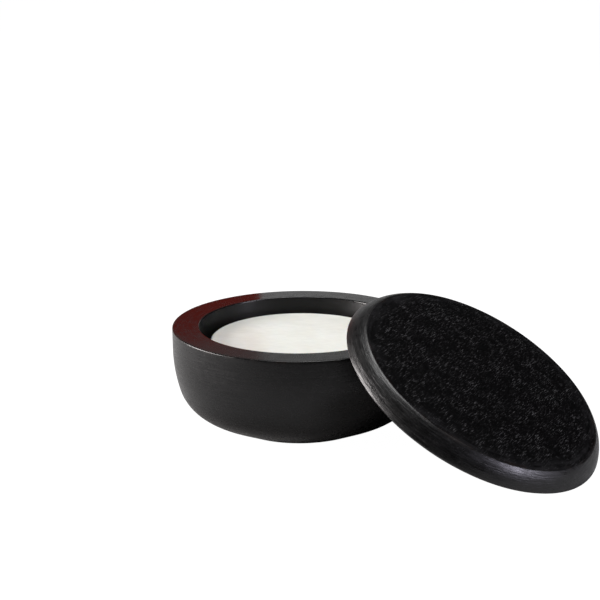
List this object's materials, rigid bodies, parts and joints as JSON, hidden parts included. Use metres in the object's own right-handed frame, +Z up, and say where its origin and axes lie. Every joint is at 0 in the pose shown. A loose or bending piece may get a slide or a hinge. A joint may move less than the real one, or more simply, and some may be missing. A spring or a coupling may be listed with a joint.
{
  "type": "shaving bowl",
  "caption": "Turned wooden shaving bowl with a broad flat rim and a puck of soap inside, and a stepped wooden lid that leans on the rim and lifts away.",
  "frame": {"origin": "centre of the bowl's flat foot, on the surface that the bowl stands on", "axes": "+Z up along the bowl's turning axis; the lid leans on the rim towards +X and -Y, 34 degrees from +X"},
  "size_m": [0.1725, 0.1531, 0.0602],
  "materials": {
    "bowl_wood": "satin",
    "soap": "satin",
    "lid_wood": "matte"
  },
  "bodies": {
    "bowl": {"bowl": "bowl_wood", "soap": "soap"},
    "lid": {"lid": "lid_wood"}
  },
  "joints": [
    {"name": "lid_lift", "type": "slide", "parent": "bowl", "child": "lid", "axis": [0, 0, 1], "range_m": [0, 0.1]}
  ]
}
